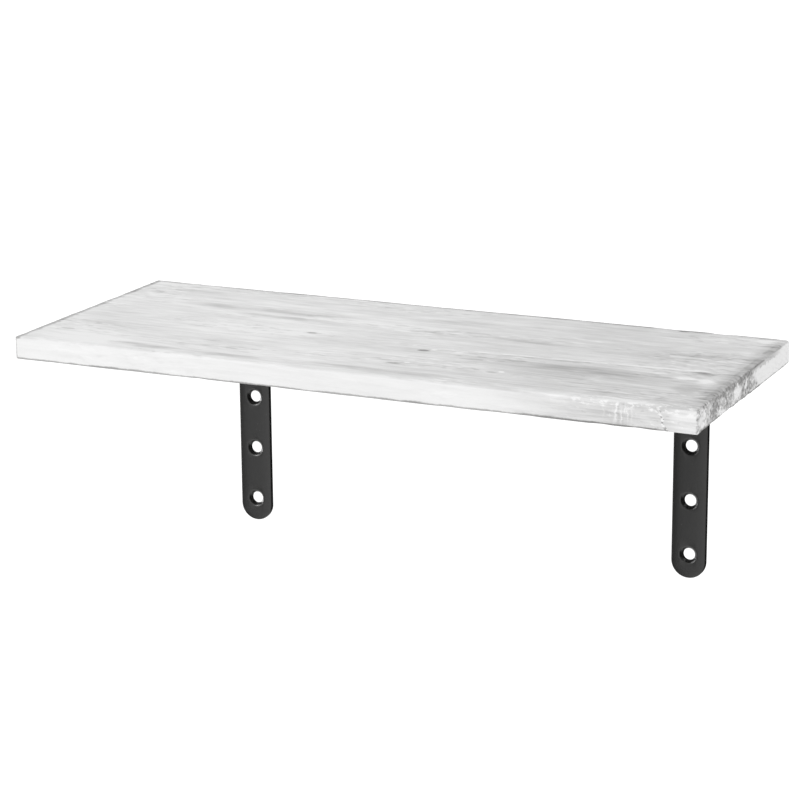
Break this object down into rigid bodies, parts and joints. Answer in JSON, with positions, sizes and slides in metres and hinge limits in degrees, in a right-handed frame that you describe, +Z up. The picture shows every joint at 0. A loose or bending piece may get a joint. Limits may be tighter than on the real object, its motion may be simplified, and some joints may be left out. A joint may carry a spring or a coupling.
{
  "type": "wall shelf with brackets",
  "caption": "Plain rectangular whitewashed wooden board carried on flat black steel angle brackets with round ends and countersunk holes, for fixing to a wall.",
  "frame": {"origin": "the middle of the board's back edge, on the plane of the wall and at half the board's thickness", "axes": "+X along the board to the right as a person facing the shelf sees it, +Y into the wall, +Z up"},
  "size_m": [0.43, 0.172, 0.1559],
  "materials": {
    "whitewashed_pine": "matte whitewash over visible grain",
    "black_powder_coat": "satin",
    "zinc_plated_steel": "satin"
  },
  "bodies": {
    "root": {"board": "whitewashed_pine", "bracket_left": "black_powder_coat", "bracket_right": "black_powder_coat", "screw_left_1": "zinc_plated_steel", "screw_left_2": "zinc_plated_steel", "screw_left_3": "zinc_plated_steel", "screw_left_4": "zinc_plated_steel", "screw_right_1": "zinc_plated_steel", "screw_right_2": "zinc_plated_steel", "screw_right_3": "zinc_plated_steel", "screw_right_4": "zinc_plated_steel"}
  },
  "joints": []
}
